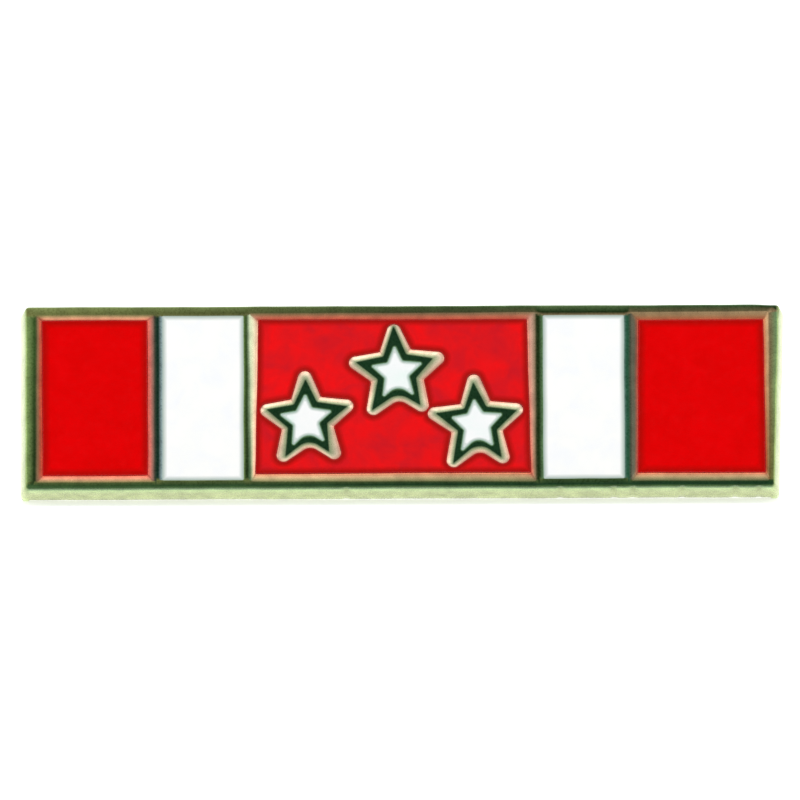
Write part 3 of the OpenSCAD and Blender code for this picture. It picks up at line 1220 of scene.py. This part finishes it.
def makeEnamelMaterial(name, settings, gloss):
    material, tree, shader = startMaterial(name)
    blotches = addSpeckle(tree, *gloss["blotches"])
    color = addRamp(tree, blotches, (
        (noiseSpan[0], linear(*settings["mottle"])),
        (0.5, linear(*settings["color"])),
        (noiseSpan[1], linear(*settings["bright"])),
    ))
    # Painted shade: the colour turns to the edge colour close to the walls
    wallShadeShare = addRange(tree, addAttribute(tree, "wallDistance"), *settings["wallShadeReach"], 1, 0)
    color = addMix(tree, wallShadeShare, color, linear(*settings["edge"]))
    tree.links.new(color, shader.inputs["Base Color"])
    shader.inputs["Specular IOR Level"].default_value = gloss["specular"]
    rough = addRange(tree, addSpeckle(tree, *gloss["fine"]), *noiseSpan, *gloss["roughness"])
    tree.links.new(rough, shader.inputs["Roughness"])
    addBump(tree, shader, addSpeckle(tree, *gloss["swell"]), gloss["swellDepth"])
    return material


redEnamel = makeEnamelMaterial("red_enamel", redSettings, glossSettings)
crimsonEnamel = makeEnamelMaterial("crimson_enamel", crimsonSettings, glossSettings)
whiteEnamel = makeEnamelMaterial("white_enamel", whiteSettings, glossSettings)
starEnamel = makeEnamelMaterial("star_white_enamel", starWhiteSettings, glossSettings)
wetShare = 0.95  # how far down its slopes the red enamel begins
for nodeName in redNodes + whiteNodes:
    isRed = nodeName in redNodes
    level = 1 - wetShare if isRed else 1
    holes = []
    if nodeName == "enamel_red_center":
        holes = [lambda away, n=name: starLoop(n, 1 + wetShare, away) for name in starNodes]
    fill = makeEnamel(
        nodeName + "_glaze", nodeName,
        lambda away, n=nodeName, s=level: cellLoop(n, s, -away), holes, enamelSettings,
    )
    if nodeName == "enamel_red_center":
        fill.data.materials.append(crimsonEnamel)
    elif isRed:
        fill.data.materials.append(redEnamel)
    else:
        fill.data.materials.append(whiteEnamel)
for nodeName in starNodes:
    fill = makeEnamel(
        nodeName + "_glaze", nodeName, lambda away, n=nodeName: starLoop(n, 0, -away), [], enamelSettings
    )
    fill.data.materials.append(starEnamel)
print("Enamel filled")


# Posts

postSettings = {
    "steps": 48,
    "profile": (  # radius and height from the back, from the foot's flat to the tip
        (0, 0.25), (1.26, 0.25), (1.3, 0.21), (1.3, -0.12), (1.285, -0.165), (1.24, -0.19), (1.15, -0.2),
        (0.86, -0.205), (0.68, -0.24), (0.57, -0.31), (0.515, -0.42), (0.5, -0.55), (0.5, -6.02),
        (0.47, -6.06), (0.41, -6.12), (0.39, -6.2), (0.41, -6.28), (0.47, -6.34), (0.5, -6.38),
        (0.5, -6.6), (0.485, -6.7), (0.11, -7.95), (0.095, -7.985), (0.07, -8.0), (0, -8.0),
    ),
}


def makePost(name, nodeName, centerX, settings):
    steps = settings["steps"]
    turns = np.arange(steps) / steps * 2 * math.pi
    points = []
    faces = []
    rings = []
    for radius, level in settings["profile"]:
        if radius == 0:
            rings.append([len(points)] * steps)
            points.append((centerX, 0, level))
            continue
        rings.append(list(range(len(points), len(points) + steps)))
        points += [(centerX + radius * math.cos(t), radius * math.sin(t), level) for t in turns]
    for upper, lower in zip(rings, rings[1:]):
        for i in range(steps):
            j = (i + 1) % steps
            corners = [upper[i], lower[i], lower[j], upper[j]]
            faces.append(list(dict.fromkeys(corners)))
    piece = makePiece(name, np.array(points, float), faces, {}, 0.7)
    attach(piece, "root")
    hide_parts(nodeName)
    return piece


postMetalSettings = {
    "dull": (176, 160, 104),
    "color": (214, 206, 150),
    "blotches": (0.9, 3, 0.5),
    "roughness": (0.25, 0.45),
    "grain": (0.1, 4, 0.6),
    "grainDepth": 0.004,
}


def makePostMetal(settings):
    material, tree, shader = startMaterial("post_metal")
    shader.inputs["Metallic"].default_value = 1
    color = addRamp(tree, addSpeckle(tree, *settings["blotches"]), (
        (0.35, linear(*settings["dull"])),
        (0.6, linear(*settings["color"])),
    ))
    tree.links.new(color, shader.inputs["Base Color"])
    grain = addSpeckle(tree, *settings["grain"])
    tree.links.new(addRange(tree, grain, *noiseSpan, *settings["roughness"]), shader.inputs["Roughness"])
    addBump(tree, shader, grain, settings["grainDepth"])
    return material


postMetal = makePostMetal(postMetalSettings)
for mount in frame["record"]["mounts"]:
    post = makePost(mount["name"] + "_turned", mount["name"], mount["pos_m"][0] / mm, postSettings)
    post.data.materials.append(postMetal)
print("Posts made")
